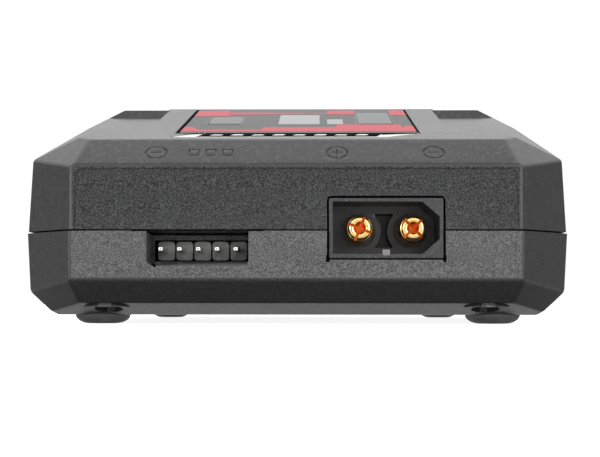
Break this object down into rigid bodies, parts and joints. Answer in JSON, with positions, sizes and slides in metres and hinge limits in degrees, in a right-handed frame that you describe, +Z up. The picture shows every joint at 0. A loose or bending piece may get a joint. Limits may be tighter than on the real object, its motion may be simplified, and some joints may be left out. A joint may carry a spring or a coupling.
{
  "type": "balance battery charger",
  "caption": "Mains-fed balance charger for model battery packs, with a sloping key panel, a balance port and a two-pole power socket in front.",
  "frame": {"origin": "centre of the footprint, on the plane that the rubber feet stand on", "axes": "+X right, +Y from the connector face to the rear, +Z up"},
  "size_m": [0.0754, 0.114, 0.0362],
  "materials": {
    "case": "black moulded ABS with fine spark grain",
    "overlay": "printed film, red and black, satin",
    "nameplate": "printed film, white and black",
    "key": "pale grey satin key",
    "window": "pale diffusing window",
    "socket_plastic": "black nylon",
    "gold": "gold plated, bright",
    "tin": "tinned, bright",
    "steel": "zinc plated screw",
    "rubber": "black matt",
    "board": "green solder mask",
    "black_part": "black moulded",
    "ferrite": "dark ferrite",
    "winding": "yellow tape over copper",
    "can": "dark blue sleeve",
    "aluminium": "extruded",
    "led": "milky lamp",
    "fuse_glass": "pale body"
  },
  "bodies": {
    "case": {"ac_inlet": "black_part", "ac_pin_1": "tin", "ac_pin_2": "tin", "balance_header": "black_part", "balance_pin_1": "tin", "balance_pin_2": "tin", "balance_pin_3": "tin", "balance_pin_4": "tin", "balance_pin_5": "tin", "board_link_header": "black_part", "board_screw_1": "steel", "board_screw_2": "steel", "board_screw_3": "steel", "board_screw_4": "steel", "bulk_capacitor": "can", "case_screw_1": "steel", "case_screw_2": "steel", "case_screw_3": "steel", "case_screw_4": "steel", "controller_chip": "black_part", "filter_choke": "winding", "foot_1": "rubber", "foot_2": "rubber", "foot_3": "rubber", "foot_4": "rubber", "fuse": "fuse_glass", "heat_sink": "aluminium", "lower_case": "case", "main_board": "board", "nameplate": "nameplate", "output_capacitor_1": "can", "output_capacitor_2": "can", "panel_board": "board", "panel_overlay": "overlay", "power_socket": "socket_plastic", "power_transistor_1": "steel", "power_transistor_2": "steel", "side_window": "window", "socket_contact_left": "gold", "socket_contact_right": "gold", "status_led_1": "led", "status_led_2": "led", "status_led_3": "led", "status_led_4": "led", "status_window": "window", "tact_switch_1": "black_part", "tact_switch_2": "black_part", "transformer_core": "ferrite", "transformer_winding": "winding", "upper_case": "case"},
    "current_key": {"current_key": "key"},
    "type_key": {"type_key": "key"}
  },
  "joints": [
    {"name": "current_key_press", "type": "slide", "parent": "case", "child": "current_key", "axis": [0, 0.245, -0.9695], "range_m": [0, 0.0006], "stiffness_N_per_m": 600, "springref_m": -0.0004},
    {"name": "type_key_press", "type": "slide", "parent": "case", "child": "type_key", "axis": [0, 0.245, -0.9695], "range_m": [0, 0.0006], "stiffness_N_per_m": 600, "springref_m": -0.0004}
  ]
}
